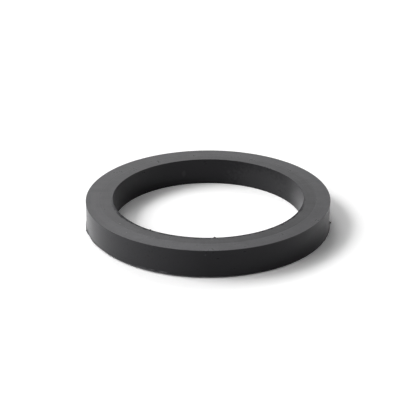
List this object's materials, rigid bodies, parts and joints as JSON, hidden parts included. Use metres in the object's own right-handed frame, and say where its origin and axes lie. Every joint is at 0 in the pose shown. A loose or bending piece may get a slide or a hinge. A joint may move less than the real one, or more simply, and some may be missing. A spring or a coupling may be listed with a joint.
{
  "type": "flat rubber sealing ring",
  "caption": "Flat black rubber ring of rectangular section with straight walls and sharp edges, pressed between two round faces to seal the joint between them.",
  "frame": {"origin": "centre of the bore at the lower face", "axes": "+Z along the ring's axis, up from the lower face to the upper one"},
  "size_m": [0.0744, 0.0734, 0.0085],
  "materials": {
    "black_rubber": "satin, knife-cut"
  },
  "bodies": {
    "root": {"seal_ring": "black_rubber"}
  },
  "joints": []
}
